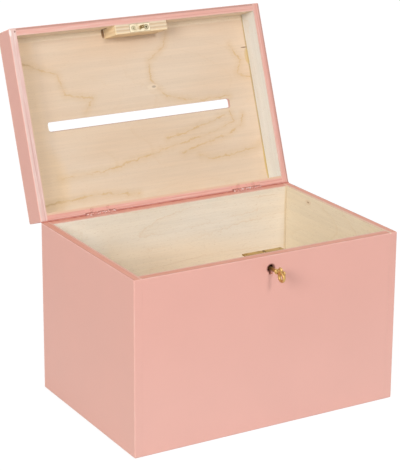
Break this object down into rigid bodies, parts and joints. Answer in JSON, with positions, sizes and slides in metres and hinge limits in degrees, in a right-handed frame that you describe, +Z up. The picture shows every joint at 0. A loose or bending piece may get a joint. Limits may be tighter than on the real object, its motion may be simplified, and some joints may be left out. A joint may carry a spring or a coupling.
{
  "type": "lockable envelope box",
  "caption": "Painted plywood box for envelopes with a slotted hinged lid, a box lock and its key; lid, key and bolt move.",
  "frame": {"origin": "middle of the underside of the base, on the plane that the box stands on", "axes": "+X to the right seen from the keyhole side, +Y from the keyhole side to the hinges, +Z up"},
  "size_m": [0.3, 0.3226, 0.368],
  "materials": {
    "painted_wood": "satin paint",
    "birch_plywood": "bare, sanded",
    "brass": "polished",
    "steel": "zinc plated"
  },
  "bodies": {
    "root": {"front_panel": "painted_wood", "back_panel": "painted_wood", "left_panel": "painted_wood", "right_panel": "painted_wood", "base_panel": "birch_plywood", "left_hinge_body_leaf": "steel", "left_hinge_pin": "steel", "left_hinge_body_screw_1": "steel", "left_hinge_body_screw_2": "steel", "right_hinge_body_leaf": "steel", "right_hinge_pin": "steel", "right_hinge_body_screw_1": "steel", "right_hinge_body_screw_2": "steel", "lock_plate": "brass", "lock_cap": "brass", "cap_rivet_1": "brass", "cap_rivet_2": "brass", "bolt_spring": "steel", "lock_screw_1": "brass", "lock_screw_2": "brass", "lock_screw_3": "brass", "lock_screw_4": "brass"},
    "lid": {"lid_front_rail": "painted_wood", "lid_back_rail": "painted_wood", "lid_left_rail": "painted_wood", "lid_right_rail": "painted_wood", "lid_panel": "painted_wood", "lock_block": "birch_plywood", "keeper_plate": "brass", "keeper_screw_1": "brass", "keeper_screw_2": "brass", "left_hinge_lid_leaf": "steel", "left_hinge_lid_screw_1": "steel", "left_hinge_lid_screw_2": "steel", "right_hinge_lid_leaf": "steel", "right_hinge_lid_screw_1": "steel", "right_hinge_lid_screw_2": "steel"},
    "bolt": {"lock_bolt": "brass"},
    "key_pin": {"key_pin": "steel"},
    "key": {"key": "brass"}
  },
  "joints": [
    {"name": "lid_hinge", "type": "hinge", "parent": "root", "child": "lid", "pos_m": [0, 0.1003, 0.18015], "axis": [1, 0, 0], "range_deg": [0, 110]},
    {"name": "key_turn", "type": "hinge", "parent": "root", "child": "key_pin", "pos_m": [0, -0.1, 0.1665], "axis": [0, 1, 0], "range_deg": [0, 360]},
    {"name": "key_withdraw", "type": "slide", "parent": "key_pin", "child": "key", "axis": [0, -1, 0], "range_m": [0, 0.03]},
    {"name": "bolt_slide", "type": "slide", "parent": "root", "child": "bolt", "axis": [1, 0, 0], "range_m": [0, 0.005]}
  ],
  "couplings": [
    {"joint": "key_turn", "follows": "bolt_slide", "rad_per_m": 1256.6}
  ]
}
